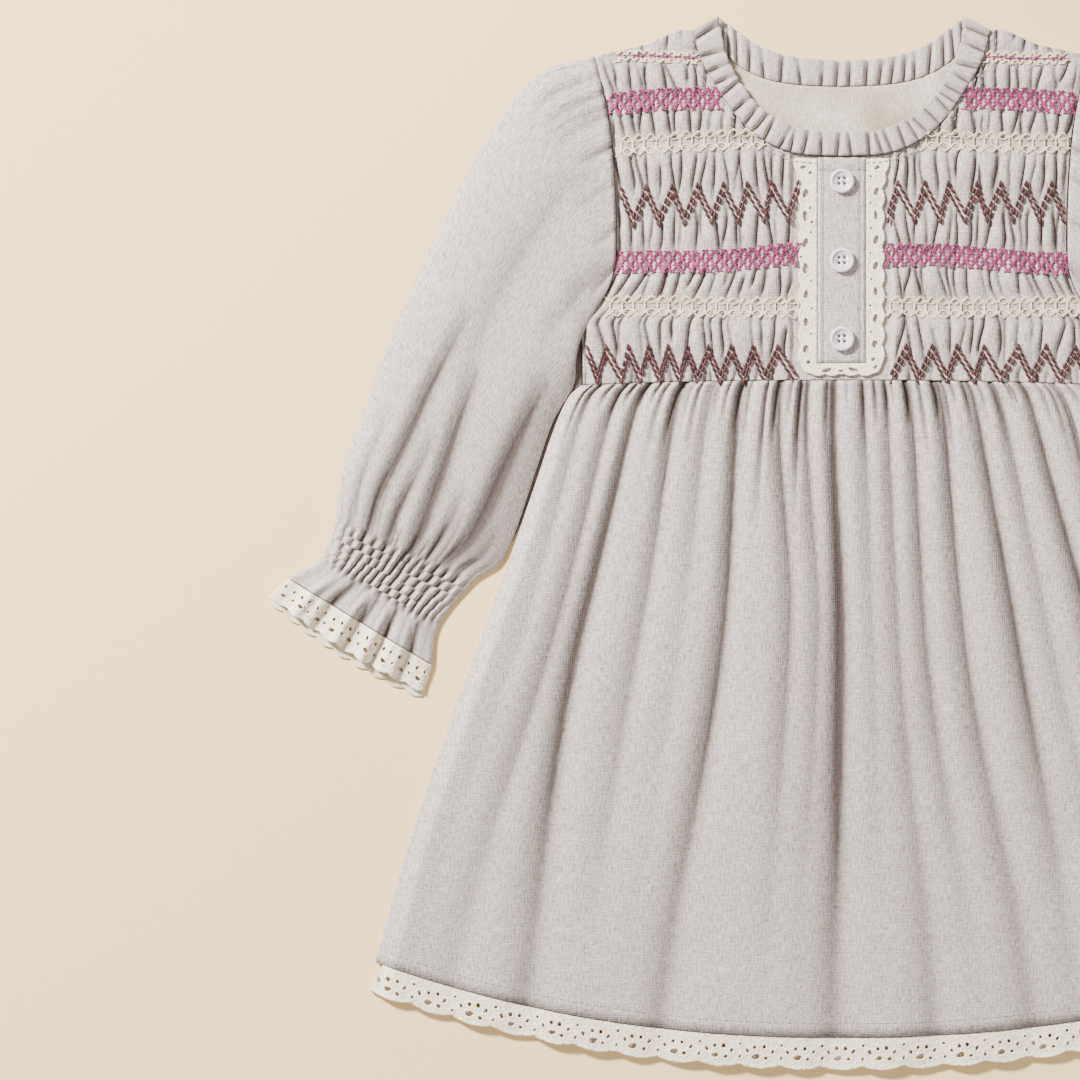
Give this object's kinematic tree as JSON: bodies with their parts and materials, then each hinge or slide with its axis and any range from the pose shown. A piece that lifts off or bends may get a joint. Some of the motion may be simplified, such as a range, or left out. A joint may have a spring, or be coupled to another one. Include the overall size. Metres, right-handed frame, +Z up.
{
  "type": "embroidered dress",
  "caption": "Child's long-sleeved dress laid flat: smocked bodice, ruffled neck, buttoned placket, gathered skirt, shirred cuffs and lace edging.",
  "frame": {"origin": "middle of the laid-out dress, on the surface it lies on", "axes": "+Z up, away from the surface; +Y towards the neck; +X towards the sleeve on the right of the picture"},
  "size_m": [0.5242, 0.4845, 0.0082],
  "materials": {
    "linen": "heathered light grey linen and cotton plain weave, matt",
    "gauze": "cream cotton gauze lining, matt",
    "lace": "cream cotton crochet lace, matt",
    "button": "pale moulded plastic, soft satin",
    "thread_burgundy": "stranded cotton embroidery thread, slight sheen",
    "thread_pink": "stranded cotton embroidery thread, slight sheen",
    "thread_cream": "stranded cotton embroidery thread, slight sheen"
  },
  "bodies": {
    "root": {"skirt_back": "linen", "skirt_front": "linen", "bodice_back": "linen", "bodice_front": "linen", "lining_back": "gauze", "neck_ruffle_front": "linen", "neck_ruffle_back": "linen", "placket": "linen", "placket_lace": "lace", "button_1": "button", "button_2": "button", "button_3": "button", "sleeve_left": "linen", "sleeve_right": "linen", "cuff_lace_left": "lace", "cuff_lace_right": "lace", "hem_lace_front": "lace", "hem_lace_back": "lace"}
  },
  "joints": []
}
